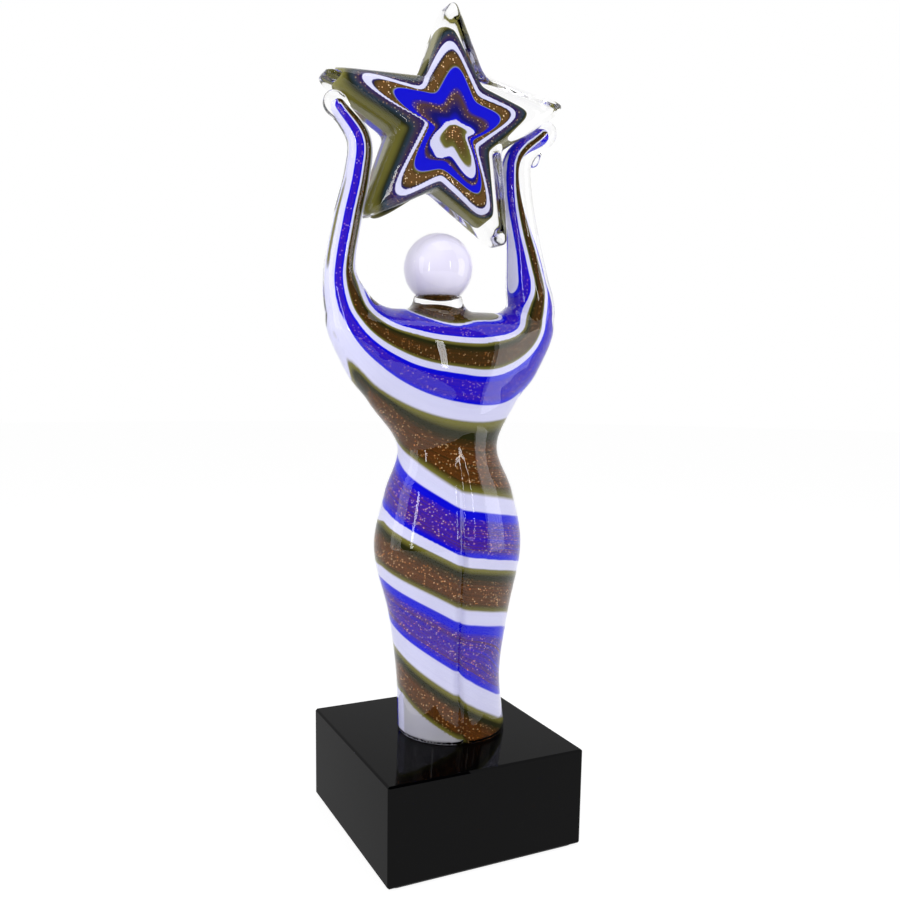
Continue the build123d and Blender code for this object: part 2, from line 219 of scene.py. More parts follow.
# ---- The figure -----------------------------------------------------------------------
@dataclass(frozen=True)
class Trunk:
    """The figure's body, an oval at every height with a crease down its front and back."""

    # rise above the foot, sideways offset, half width, half depth, crease
    rings: tuple[tuple[float, ...], ...] = (
        (0.0, 4.6, 24.0, 22.0, 2.0), (26.5, 2.5, 23.2, 21.5, 2.0), (53.5, 2.5, 27.2, 22.3, 2.0),
        (82.5, 1.8, 33.2, 25.0, 2.0), (106.5, 1.8, 28.4, 21.8, 1.0),
        (125.5, 0.8, 22.1, 17.6, 0.0), (143.5, -1.2, 33.2, 18.9, 0.0),
        (161.5, -1.2, 45.2, 20.0, 0.0), (174.5, -1.2, 50.2, 17.5, 0.0),
        (181.5, -1.2, 46.0, 8.0, 0.0))
    crease_offset: float = -3.6
    crease_width: float = 1.9
    crown_round: float = 6.0
    foot_round: float = 1.2

    def distance(self, points: np.ndarray, foot: float, crown: float,
                 wall: float = 0.0) -> np.ndarray:
        """Distance to the body, thinned by a wall.

        With p the length of (x / half width, y / half depth), the surface is p = 1, and
        (p - 1) over the slope of p is the distance near it. The crown and the foot are cut
        flat and rounded off.
        """
        rings = np.array(self.rings)
        rise = points[:, 2] - foot
        offset, width, depth, crease = smooth(rings, rise).T
        x, y = points[:, 0] - offset, points[:, 1]
        width = np.maximum(width - wall, 1)
        groove = crease * np.exp(-((x - self.crease_offset) / self.crease_width) ** 2)
        depth = np.maximum(depth - wall - groove, 1)
        reach = np.sqrt((x / width) ** 2 + (y / depth) ** 2) + 1e-9
        steep = np.sqrt((x / width**2) ** 2 + (y / depth**2) ** 2) / reach + 1e-6
        side = (reach - 1) / np.maximum(steep, 0.02)
        body = carve(side, points[:, 2] - (crown - wall), self.crown_round)
        return carve(body, foot - points[:, 2], self.foot_round)


@dataclass(frozen=True)
class Arm:
    """One raised arm, a round tube along a line in the plane y = 0."""

    side: int
    # across, rise above the crown, radius, from the root up to the hand
    rings: tuple[tuple[float, float, float], ...]
    # height above the crown, shift of the coloured core inwards, its half width, both in radii
    core: tuple[tuple[float, float, float], ...]
    steps: int = 70

    def line(self, crown: float) -> np.ndarray:
        """Points down the arm: across, height, radius."""
        rings = np.array(self.rings)
        gaps = np.hypot(*np.diff(rings[:, :2], axis=0).T)
        along = np.concatenate([[0], np.cumsum(gaps)])
        line = smooth(np.column_stack([along, rings]), np.linspace(0, along[-1], self.steps))
        line[:, 1] += crown
        return line

    def locate(self, points: np.ndarray, crown: float) -> tuple[np.ndarray, ...]:
        """Where points lie against the arm's line.

        Returns:
            Distance from the line in its plane, counted positive on the inner side, and the
            radius and height of the nearest place on the line.
        """
        line = self.line(crown)
        start, way = line[:-1], np.diff(line, axis=0)
        flat = points[:, [0, 2]][:, None, :] - start[None, :, :2]
        length = (way[:, :2] ** 2).sum(axis=1)
        t = np.clip((flat * way[None, :, :2]).sum(axis=2) / length, 0, 1)
        off = flat - t[..., None] * way[None, :, :2]
        gap = (off**2).sum(axis=2)
        near = gap.argmin(axis=1)
        row = np.arange(len(points))
        t, off, way = t[row, near], off[row, near], way[near]
        turn = way[:, 0] * off[:, 1] - way[:, 1] * off[:, 0]
        inner = np.where(turn * self.side > 0, 1.0, -1.0)
        place = start[near] + t[:, None] * way
        return np.sqrt(gap[row, near]) * inner, place[:, 2], place[:, 1]

    def distance(self, points: np.ndarray, crown: float) -> np.ndarray:
        """Distance to the arm's clear surface: from the line, less the radius there."""
        across, radius, _ = self.locate(points, crown)
        return np.hypot(across, points[:, 1]) - radius

    def core_distance(self, points: np.ndarray, crown: float) -> np.ndarray:
        """Distance to the arm's coloured core, an oval beside the middle of the arm."""
        across, radius, height = self.locate(points, crown)
        shift, half = smooth(np.array(self.core), height - crown).T
        width, depth = half * radius, 0.62 * radius
        x = across - shift * radius
        reach = np.sqrt((x / width) ** 2 + (points[:, 1] / depth) ** 2) + 1e-9
        steep = np.sqrt((x / width**2) ** 2 + (points[:, 1] / depth**2) ** 2) / reach + 1e-6
        return (reach - 1) / np.maximum(steep, 0.05)


LEFT_ARM = Arm(-1, (
    (-31.9, -20.0, 12.0), (-43.8, 0.0, 9.6), (-47.5, 13.0, 6.6), (-44.6, 32.5, 5.8),
    (-40.3, 51.0, 5.2), (-39.6, 64.0, 4.8), (-48.3, 75.3, 3.6)),
    ((-20.0, 0.0, 0.68), (0.0, 0.0, 0.67), (40.0, 0.0, 0.67), (64.0, 0.04, 0.64),
     (76.0, 0.0, 0.6)))
RIGHT_ARM = Arm(1, (
    (29.5, -20.0, 12.0), (39.9, 0.0, 10.8), (38.3, 13.0, 9.3), (35.3, 32.5, 7.0),
    (31.6, 51.0, 6.7), (32.4, 64.0, 6.0), (43.9, 74.8, 4.0)),
    ((-20.0, 0.05, 0.68), (0.0, 0.04, 0.69), (13.0, 0.06, 0.68), (26.0, 0.09, 0.65),
     (38.0, 0.20, 0.54), (52.0, 0.32, 0.42), (64.0, 0.30, 0.42), (76.0, 0.0, 0.55)))


@dataclass(frozen=True)
class BandFlow:
    """How the coloured bands run: wound round the body, slung from arm to arm, and up the arms.

    One turn of the winding is white, blue, white and olive, as wide as the finish says, and a
    whole number of turns stands at each upper edge of the olive.
    """

    # height at the front crease, turns
    front: tuple[tuple[float, float], ...] = (
        (43.4, -0.40), (62.7, 0.0), (74.0, 0.18), (95.8, 0.5), (102.0, 0.6), (120.3, 1.0),
        (124.7, 1.18), (143.9, 1.5), (150.9, 1.6), (180.3, 2.0), (188.0, 2.18), (199.3, 2.5),
        (201.7, 2.6), (211.3, 3.0), (213.4, 3.18), (217.5, 3.5), (217.9, 3.62), (226.0, 3.8))
    # direction in degrees, how far a band stands above its height at the crease on the upper
    # body, and on the lower
    rise: tuple[tuple[float, float, float], ...] = (
        (-270.0, 0.0, 0.0), (-180.0, 17.0, 18.0), (-102.0, 0.0, 0.0), (-80.0, -1.2, -5.5),
        (-40.0, -4.0, -13.5), (10.0, -9.0, -20.0), (90.0, 0.0, 0.0))
    lower_body: tuple[float, float] = (66.0, 92.0)
    # direction, turns gained there: one whole turn is made up round the back
    gain: tuple[tuple[float, float], ...] = (
        (-270.0, -0.5), (-180.0, 0.0), (10.0, 0.0), (90.0, 0.5))
    # turns of a slung band's edge, then its distance from the sling's middle, every 30 degrees
    # from straight left through straight down to straight right
    sling_middle: tuple[float, float] = (-4.0, 240.0)
    sling: tuple[tuple[float, ...], ...] = (
        (1.6, 55.0, 55.5, 61.0, 88.5, 101.0, 105.0, 105.0),
        (2.0, 50.5, 51.7, 55.4, 59.7, 66.0, 70.0, 68.0),
        (2.18, 46.5, 48.1, 48.7, 52.0, 58.5, 57.0, 53.0),
        (2.5, 44.0, 44.6, 41.6, 40.7, 46.5, 50.5, 48.0),
        (2.6, 42.9, 43.0, 39.2, 38.3, 43.8, 48.7, 46.5),
        (3.0, 39.0, 37.8, 30.6, 28.7, 32.7, 41.3, 42.6),
        (3.18, 37.5, 36.0, 28.8, 26.6, 30.5, 39.3, 41.0),
        (3.5, 30.0, 26.0, 23.0, 22.4, 23.9, 33.5, 36.5),
        (3.62, 29.4, 25.4, 22.5, 21.9, 23.4, 32.6, 35.6),
        (3.9, 14.0, 12.0, 11.0, 11.0, 11.0, 14.0, 14.0))
    # height above the crown, then where edges lie across the arm, in radii, outer side first
    left_turns: tuple[float, ...] = (2.0, 2.18, 2.5, 2.6, 3.0, 3.1)
    left_arm: tuple[tuple[float, ...], ...] = (
        (5.0, -0.66, -0.50, -0.15, 0.00, 0.42, 0.66), (20.0, -0.66, -0.42, 0.03, 0.18, 0.58, 0.72),
        (48.0, -0.66, -0.43, 0.08, 0.19, 0.62, 0.72))
    right_turns: tuple[float, ...] = (2.38, 2.45, 2.5, 2.6, 3.0, 3.18, 3.5, 3.58)
    right_arm: tuple[tuple[float, ...], ...] = (
        (15.0, -0.66, -0.62, -0.55, -0.43, 0.01, 0.19, 0.62, 0.74),
        (25.0, -0.58, -0.55, -0.45, -0.33, 0.14, 0.31, 0.64, 0.74),
        (36.0, -0.50, -0.44, -0.30, -0.14, 0.30, 0.46, 0.70, 0.80),
        (56.0, -0.20, -0.15, -0.08, 0.01, 0.36, 0.43, 0.72, 0.82))

    @staticmethod
    def between(value: np.ndarray, edges: np.ndarray, turns: np.ndarray) -> np.ndarray:
        """Turns at a value that grows past one edge after another.

        Args:
            value: One number per point.
            edges: A row of growing edges per point.
            turns: The turns at those edges.

        Returns:
            Turns, straight between edges and level outside them.
        """
        found = np.full(len(value), float(turns[0]))
        for k in range(len(turns) - 1):
            gap = np.maximum(edges[:, k + 1] - edges[:, k], 0.01)
            share = np.clip((value - edges[:, k]) / gap, 0, 1)
            found += (turns[k + 1] - turns[k]) * share
        return found

    def wound(self, points: np.ndarray, angle: np.ndarray) -> np.ndarray:
        """Turns round the body: those of the front, read as much lower as the bands rise."""
        direction = np.degrees(angle)
        rise = np.array(self.rise)
        upper = np.interp(direction, rise[:, 0], rise[:, 1])
        lower = np.interp(direction, rise[:, 0], rise[:, 2])
        share = ease(points[:, 2], *self.lower_body)
        heights, values = np.array(self.front).T
        front = np.interp(points[:, 2] - lower - (upper - lower) * share, heights, values)
        return front + np.interp(direction, *np.array(self.gain).T)

    def slung(self, points: np.ndarray) -> np.ndarray:
        """Turns across the bands that hang between the arms."""
        x, z = self.sling_middle
        away = np.hypot(points[:, 0] - x, points[:, 2] - z)
        around = np.degrees(np.arctan2(points[:, 2] - z, points[:, 0] - x)) % 360
        around = np.where(around < 90, 360.0, around)
        table = np.array(self.sling)
        stations = np.column_stack([np.arange(180, 361, 30), table[:, 1:].T])
        edges = smooth(stations, around)
        return self.between(-away, -edges, table[:, 0])

    def turns(self, points: np.ndarray, angle: np.ndarray, arms: tuple[Arm, Arm],
              crown: float) -> np.ndarray:
        """Turns of the winding at points whose angle about the body is given."""
        wound, slung = self.wound(points, angle), self.slung(points)
        facing = ease(-points[:, 1], -5, 5)
        share = facing * ease(slung, 1.6, 1.85) + (1 - facing) * ease(points[:, 2], 196, 216)
        turns = wound + (slung - wound) * share
        on_arm = ease(points[:, 2], crown + 4, crown + 17)
        for arm, places, names, chosen in (
                (arms[0], self.left_arm, self.left_turns, points[:, 0] < -4),
                (arms[1], self.right_arm, self.right_turns, points[:, 0] >= -4)):
            inward, radius, height = arm.locate(points, crown)
            edges = smooth(np.array(places), height - crown)
            reading = self.between(inward / radius, edges, np.array(names))
            turns = np.where(chosen, turns + (reading - turns) * on_arm, turns)
        return turns


@dataclass(frozen=True)
class Figure:
    """The glass figure: clear casing, coloured core, hands and neck."""

    trunk: Trunk = Trunk()
    flow: BandFlow = BandFlow()
    arms: tuple[Arm, Arm] = (LEFT_ARM, RIGHT_ARM)
    wall: float = 3.0
    arm_blend: float = 6.0
    hand_blend: float = 3.0
    neck_blend: float = 5.0
    left_hand: tuple[float, float, float] = (-49.4, 301.2, 4.6)
    right_hand: tuple[float, float, float] = (45.0, 300.7, 5.2)
    dome: tuple[float, float, float] = (-4.6, 215.5, 10.8)
    neck_radius: float = 9.8
    neck_root_radius: float = 12.0
    neck_root_depth: float = 7.0
    drip_radius: float = 2.4
    drip_length: float = 13.0
    drip_tilt: float = 24.0

    def casing_distance(self, points: np.ndarray) -> np.ndarray:
        """Distance to the clear glass: body, arms, hands, neck and drip melted together."""
        foot, crown = self.foot, self.crown
        glass = self.trunk.distance(points, foot, crown)
        for arm in self.arms:
            glass = melt(glass, arm.distance(points, crown), self.arm_blend)
        for x, z, radius in (self.left_hand, self.right_hand):
            drop = np.linalg.norm(points - (x, 0, z), axis=1) - radius
            glass = melt(glass, drop, self.hand_blend)
        glass = melt(glass, self.neck_distance(points), self.neck_blend)
        return melt(glass, self.drip_distance(points), 1.5)

    @property
    def foot(self) -> float:
        """Height of the figure's foot."""
        return box_mm("body_casing")[0][2]

    @property
    def crown(self) -> float:
        """Height of the figure's shoulders."""
        return box_mm("body_casing")[1][2]

    def neck_distance(self, points: np.ndarray) -> np.ndarray:
        """Distance to a cone that narrows from the shoulders to the neck's rim."""
        low, high = box_mm("neck_collar")
        middle = box_mm("head_casing")
        axis = (middle[0][0] + middle[1][0]) / 2
        root = self.crown - self.neck_root_depth
        rise = np.clip((points[:, 2] - root) / (high[2] - root), 0, 1)
        radius = self.neck_root_radius + (self.neck_radius - self.neck_root_radius) * rise
        side = np.hypot(points[:, 0] - axis, points[:, 1]) - radius
        return carve(carve(side, points[:, 2] - high[2], 2.0), root - points[:, 2], 2.0)

    def drip_distance(self, points: np.ndarray) -> np.ndarray:
        """Distance to the drop that hangs from the right hand, thickest at its lower end."""
        x, z, _ = self.right_hand
        tilt = math.radians(self.drip_tilt)
        start = np.array([x, 0.0, z])
        way = np.array([-math.sin(tilt), 0.0, -math.cos(tilt)]) * self.drip_length
        t = np.clip((points - start) @ way / self.drip_length**2, 0, 1)
        radius = self.drip_radius * (0.75 + 0.25 * t)
        return np.linalg.norm(points - start - t[:, None] * way, axis=1) - radius

    def core_distance(self, points: np.ndarray) -> np.ndarray:
        """Distance to the coloured glass inside the casing."""
        core = self.trunk.distance(points, self.foot + 0.4, self.crown, self.wall)
        x, z, radius = self.dome
        core = melt(core, np.linalg.norm(points - (x, 0, z), axis=1) - radius, 6.0)
        for arm in self.arms:
            core = melt(core, arm.core_distance(points, self.crown), self.arm_blend)
        return core

    def build_casing(self, star: "Star", head: "Head", step: float) -> bpy.types.Object:
        """Clear glass of the whole figure, which lies against the star and the head."""
        def distance(points: np.ndarray) -> np.ndarray:
            glass = self.casing_distance(points)
            glass = np.maximum(glass, 0.04 - star.casing_distance(points))
            return np.maximum(glass, 0.04 - head.distance(points))
        low, high = self.reach()
        return make_piece("figure_casing", *skin(distance, low, high, step))

    def reach(self) -> tuple[np.ndarray, np.ndarray]:
        """Corners of the space that the figure takes."""
        names = ("body_casing", "left_arm_casing", "right_arm_casing", "left_hand", "right_hand",
                 "right_hand_drip", "neck_collar")
        boxes = [box_mm(name) for name in names]
        return np.min([b[0] for b in boxes], axis=0), np.max([b[1] for b in boxes], axis=0)

    def build_core(self, step: float) -> bpy.types.Object:
        """Coloured core with its winding in the attribute "turns"."""
        low, high = self.reach()
        points, faces = skin(self.core_distance, low, high, step)
        piece = make_piece("figure_core", points, faces)
        corners = faces.ravel()
        rings = np.array(self.trunk.rings)
        offset = smooth(rings, points[:, 2] - self.foot)[:, 0]
        # angles run from the back seam, at -270 degrees, once round to 90 degrees
        angle = np.arctan2(points[:, 1], points[:, 0] - offset)
        angle = np.where(angle > math.pi / 2, angle - math.tau, angle)
        corner_angle = angle[corners].reshape(-1, 4)
        first = corner_angle.min(axis=1, keepdims=True)
        corner_angle = np.where(corner_angle - first > math.pi, corner_angle - math.tau,
                                corner_angle)
        turns = self.flow.turns(points[corners], corner_angle.ravel(), self.arms, self.crown)
        layer = piece.data.attributes.new("turns", "FLOAT", "CORNER")
        layer.data.foreach_set("value", turns.astype(np.float32))
        return piece


# ---- The star -------------------------------------------------------------------------
@dataclass(frozen=True)
class StarLine:
    """A closed star-shaped line: five tips and five notches as directions and reaches."""

    tips: tuple[tuple[float, float], ...]
    notches: tuple[tuple[float, float], ...]
    softness: float

    @lru_cache(maxsize=None)
    def table(self, samples: int = 1440) -> tuple[np.ndarray, np.ndarray]:
        """Directions once round, in radians, and the line's reach in each.

        Straight runs from tip to notch, evened by a bell curve as wide as the softness in
        degrees. Evening pulls the corners in, so they are moved out by what it took.
        """
        corners = np.array(sorted(self.tips + self.notches))
        turn = np.arange(samples) * math.tau / samples
        wanted = corners[:, 1].copy()
        reaches = wanted.copy()
        spread = (np.arange(samples) - samples / 2) * 360 / samples
        bell = np.exp(-(spread / self.softness) ** 2 / 2)
        bell = np.fft.rfft(np.roll(bell / bell.sum(), -samples // 2))
        for _ in range(4):
            a, r = np.radians(corners[:, 0]), reaches
            a = np.concatenate([a[-1:] - math.tau, a, a[:1] + math.tau])
            r = np.concatenate([r[-1:], r, r[:1]])
            k = np.clip(np.searchsorted(a, turn) - 1, 0, len(a) - 2)
            run = (r[k] * r[k + 1] * np.sin(a[k + 1] - a[k])
                   / (r[k] * np.sin(turn - a[k]) + r[k + 1] * np.sin(a[k + 1] - turn)))
            soft = np.fft.irfft(np.fft.rfft(run) * bell, samples)
            at_corner = np.interp(np.radians(corners[:, 0]), turn, soft, period=math.tau)
            reaches = reaches + (wanted - at_corner)
        return turn, soft

    def reach(self, direction: np.ndarray) -> np.ndarray:
        """Distance of the line from the star's middle in each direction, in radians."""
        return np.interp(direction, *self.table(), period=math.tau)


@dataclass(frozen=True)
class Star:
    """Thick five-pointed star, clear outside and built of nested gathers inside."""

    centre: tuple[float, float] = (-2.2, 295.8)
    half_thickness: float = 10.0
    edge_round: float = 5.0
    core_half_thickness: float = 6.5
    core_edge_round: float = 4.0
    outline: StarLine = StarLine(
        ((90.0, 48.0), (164.3, 54.5), (225.2, 50.2), (301.4, 50.4), (375.8 - 360, 54.6)),
        ((122.0, 22.2), (188.0, 26.2), (256.7, 24.4), (345.0, 24.3), (418.6 - 360, 27.3)), 2.6)

    def polar(self, points: np.ndarray) -> tuple[np.ndarray, np.ndarray]:
        """Distance and direction of points from the star's middle, in its plane."""
        x, z = points[:, 0] - self.centre[0], points[:, 2] - self.centre[1]
        return np.hypot(x, z), np.arctan2(z, x) % math.tau

    def slab_distance(self, points: np.ndarray, line: StarLine, half: float,
                      edge: float) -> np.ndarray:
        """Distance to a slab with that outline and rounded edges.

        In the plane it is the gap to the outline in that direction, times the cosine of the
        outline's slant.
        """
        away, direction = self.polar(points)
        reach = line.reach(direction)
        slant = (line.reach(direction + 0.01) - line.reach(direction - 0.01)) / 0.02
        flat = (away - reach) / np.sqrt(1 + (slant / np.maximum(reach, 1)) ** 2)
        thick = half - (away / 55) ** 2 * half * 0.22
        side, face = flat + edge, np.abs(points[:, 1]) - thick + edge
        outside = np.hypot(np.maximum(side, 0), np.maximum(face, 0))
        return outside + np.minimum(np.maximum(side, face), 0) - edge

    def casing_distance(self, points: np.ndarray) -> np.ndarray:
        """Distance to the star's clear glass."""
        return self.slab_distance(points, self.outline, self.half_thickness, self.edge_round)

    def core_distance(self, points: np.ndarray) -> np.ndarray:
        """Distance to the coloured gathers."""
        return self.slab_distance(points, GATHERS[0], self.core_half_thickness,
                                  self.core_edge_round)

    def build_casing(self, step: float) -> bpy.types.Object:
        """Clear star."""
        low, high = box_mm("star_casing")
        return make_piece("star_glass", *skin(self.casing_distance, low, high, step))

    def build_core(self, step: float) -> bpy.types.Object:
        """Coloured star with the number of the gather in the attribute "gather"."""
        low, high = box_mm("star_casing")
        points, faces = skin(self.core_distance, low, high, step)
        piece = make_piece("star_gathers", points, faces)
        away, direction = self.polar(points)
        depth = np.zeros(len(points))
        reaches = [line.reach(direction) for line in GATHERS]
        reaches.append(np.zeros(len(points)))
        for outer, inner in zip(reaches, reaches[1:]):
            gap = np.maximum(outer - inner, 0.3)
            depth += np.clip((outer - away) / gap, 0, 1)
        # the sides of the slab show the outermost gather
        layer = piece.data.attributes.new("gather", "FLOAT", "POINT")
        layer.data.foreach_set("value", depth.astype(np.float32))
        return piece


def star_line(tips: tuple[tuple[float, float], ...], notches: tuple[tuple[float, float], ...],
              softness: float) -> StarLine:
    """Star line through corners given as x and z, about the star's middle."""
    def polar(corner: tuple[float, float]) -> tuple[float, float]:
        x, z = corner[0] + 2.2, corner[1] - 295.8
        return math.degrees(math.atan2(z, x)) % 360, math.hypot(x, z)
    return StarLine(tuple(polar(c) for c in tips), tuple(polar(c) for c in notches), softness)


# borders between the star's gathers, from outside, as x and z of tips and notches
GATHERS = (
    star_line(((-3.0, 334.0), (-48.5, 309.5), (-33.5, 260.0), (17.5, 263.5), (33.0, 306.0)),
              ((-16.8, 312.6), (-23.5, 294.0), (-8.4, 273.4), (15.5, 289.0), (11.6, 314.0)), 3.0),
    star_line(((-3.5, 328.0), (-40.2, 307.4), (-26.8, 269.1), (15.1, 265.8), (26.2, 304.5)),
              ((-17.2, 309.5), (-17.1, 298.0), (-7.8, 275.6), (8.8, 289.2), (9.6, 310.8)), 4.0),
    star_line(((-2.9, 325.2), (-37.3, 306.7), (-24.7, 271.1), (13.6, 267.6), (24.2, 304.0)),
              ((-16.4, 308.3), (-15.7, 297.6), (-7.6, 277.2), (7.6, 289.9), (8.8, 309.4)), 4.5),
    star_line(((-1.4, 319.0), (-28.6, 305.1), (-18.9, 278.9), (10.7, 273.2), (19.3, 301.3)),
              ((-10.4, 307.9), (-14.5, 296.4), (-7.3, 279.4), (6.6, 291.6), (7.6, 307.0)), 6.0),
    star_line(((-1.0, 311.0), (-21.5, 302.0), (-15.0, 284.0), (9.4, 275.6), (14.5, 298.5)),
              ((-8.0, 304.0), (-11.5, 296.0), (-6.9, 283.0), (5.4, 292.6), (5.6, 302.4)), 8.0),
    star_line(((-1.1, 298.6), (-13.2, 288.5), (-9.5, 283.0), (8.3, 277.2), (8.8, 295.0)),
              ((-5.0, 297.4), (-11.0, 287.0), (-4.0, 285.0), (4.4, 293.4), (4.0, 296.8)), 9.0),
    star_line(((-1.2, 297.0), (-8.6, 290.4), (-6.3, 287.4), (6.3, 280.4), (4.6, 294.6)),
              ((-4.2, 296.4), (-7.2, 289.6), (-2.4, 288.6), (3.2, 294.0), (1.6, 296.2)), 9.0),
)


# ---- The head -------------------------------------------------------------------------
@dataclass(frozen=True)
class Head:
    """White glass ball with a clear skin, drawn down a little where it sits in the neck."""

    skin_wall: float = 1.2
    draw: float = 1.2
    columns: int = 128
    rows: int = 72

    def place(self) -> tuple[np.ndarray, float]:
        """Middle and radius of the ball."""
        low, high = box_mm("head_casing")
        return (low + high) / 2, (high[2] - low[2]) / 2

    def distance(self, points: np.ndarray) -> np.ndarray:
        """Distance to the ball."""
        middle, radius = self.place()
        return np.linalg.norm(points - middle, axis=1) - radius

    def build(self, name: str, wall: float) -> bpy.types.Object:
        """Ball as rows of rings from pole to pole, its lowest part drawn in to the seat.

        A ring at polar angle p has radius r sin p and height r cos p, and below the seat its
        radius shrinks by a share of cos p squared.
        """
        middle, radius = self.place()
        radius -= wall
        polar = np.linspace(0, math.pi, self.rows + 1)[1:-1]
        turn = np.arange(self.columns) * math.tau / self.columns
        low = np.clip(-np.cos(polar) - 0.8, 0, None) * self.draw
        ring = np.sin(polar) * radius * (1 - low * 0.2)
        grid = np.stack([ring[:, None] * np.cos(turn), ring[:, None] * np.sin(turn),
                         np.repeat(radius * np.cos(polar)[:, None], self.columns, axis=1)], -1)
        points = np.concatenate([grid.reshape(-1, 3), [[0, 0, radius], [0, 0, -radius]]])
        number = np.arange(len(polar) * self.columns).reshape(len(polar), self.columns)
        beside = np.roll(number, -1, axis=1)
        quads = np.stack([number[:-1], number[1:], beside[1:], beside[:-1]], -1).reshape(-1, 4)
        top = np.stack([number[0], beside[0], np.full(self.columns, len(points) - 2)], -1)
        base = np.stack([beside[-1], number[-1], np.full(self.columns, len(points) - 1)], -1)
        mesh_faces = quads.tolist() + top.tolist() + base.tolist()
        mesh = bpy.data.meshes.new(name)
        mesh.from_pydata(((points + middle) * MM).tolist(), [], mesh_faces)
        mesh.polygons.foreach_set("use_smooth", np.ones(len(mesh.polygons), bool))
        ball = bpy.data.objects.new(name, mesh)
        bpy.context.scene.collection.objects.link(ball)
        return ball


# ---- Finishes -------------------------------------------------------------------------
def rgb(red: int, green: int, blue: int) -> tuple[float, float, float, float]:
    """Colour as a screen shows it, 0 to 255, as the linear values that a shader takes."""
    def linear(c: float) -> float:
        c /= 255
        return c / 12.92 if c <= 0.04045 else ((c + 0.055) / 1.055) ** 2.4
    return linear(red), linear(green), linear(blue), 1.0


class Glass(Enum):
    """Colours of the glass rods and gathers."""

    WHITE = rgb(216, 216, 242)
    WHITE_SHADE = rgb(132, 134, 190)
    BLUE = rgb(0, 0, 206)
    DEEP_BLUE = rgb(4, 2, 108)
    OLIVE = rgb(32, 33, 4)
    OLIVE_LIGHT = rgb(112, 108, 44)
    COPPER = rgb(150, 80, 24)
    COPPER_DARK = rgb(14, 8, 4)
    PURPLE = rgb(22, 6, 66)
    TEAL = rgb(2, 48, 74)
    NAVY = rgb(8, 8, 78)


@dataclass(frozen=True)
class Stops:
    """Colour ramp stops: position and colour."""

    items: tuple[tuple[float, tuple[float, float, float, float]], ...]

    def put(self, node: bpy.types.ShaderNodeValToRGB) -> None:
        """Write the stops into a ramp node."""
        ramp = node.color_ramp
        while len(ramp.elements) > 1:
            ramp.elements.remove(ramp.elements[-1])
        first, *rest = self.items
        ramp.elements[0].position, ramp.elements[0].color = first
        for position, colour in rest:
            ramp.elements.new(position).color = colour


class Bench:
    """Helper that adds and joins nodes of one node tree."""

    def __init__(self, tree: bpy.types.NodeTree) -> None:
        """Start on a tree."""
        self.tree = tree

    def add(self, kind: str, **values: object) -> bpy.types.Node:
        """New node with its settings and input values, the inputs by name after "in_"."""
        node = self.tree.nodes.new(kind)
        for key, value in values.items():
            if key.startswith("in_"):
                target = node.inputs[int(key[3:])] if key[3:].isdigit() else \
                    node.inputs[key[3:].replace("_", " ")]
                if isinstance(value, bpy.types.NodeSocket):
                    self.tree.links.new(value, target)
                else:
                    target.default_value = value
            else:
                setattr(node, key, value)
        return node

    def math(self, operation: str, *values: object) -> bpy.types.NodeSocket:
        """Result of a math node."""
        inputs = {f"in_{i}": value for i, value in enumerate(values)}
        return self.add("ShaderNodeMath", operation=operation, **inputs).outputs[0]

    def mix(self, share: object, one: object, other: object) -> bpy.types.NodeSocket:
        """Colour between two."""
        node = self.add("ShaderNodeMix", data_type="RGBA")
        for index, value in ((0, share), (6, one), (7, other)):
            if isinstance(value, bpy.types.NodeSocket):
                self.tree.links.new(value, node.inputs[index])
            else:
                node.inputs[index].default_value = value
        return node.outputs[2]

    def ramp(self, value: bpy.types.NodeSocket, *items: tuple) -> bpy.types.NodeSocket:
        """Colour of a ramp at a value."""
        node = self.add("ShaderNodeValToRGB", in_Fac=value)
        Stops(items).put(node)
        return node.outputs[0]


def new_material(name: str) -> tuple[bpy.types.Material, Bench]:
    """Empty node material."""
    material = bpy.data.materials.new(name)
    material.use_nodes = True
    material.node_tree.nodes.clear()
    return material, Bench(material.node_tree)


def new_group(name: str, inputs: tuple[tuple[str, str, object], ...],
              outputs: tuple[tuple[str, str], ...]) -> tuple[bpy.types.NodeTree, Bench]:
    """Shader node group with named inputs and outputs."""
    tree = bpy.data.node_groups.new(name, "ShaderNodeTree")
    for label, kind, value in inputs:
        socket = tree.interface.new_socket(label, in_out="INPUT", socket_type=kind)
        if value is not None:
            socket.default_value = value
    for label, kind in outputs:
        tree.interface.new_socket(label, in_out="OUTPUT", socket_type=kind)
    return tree, Bench(tree)


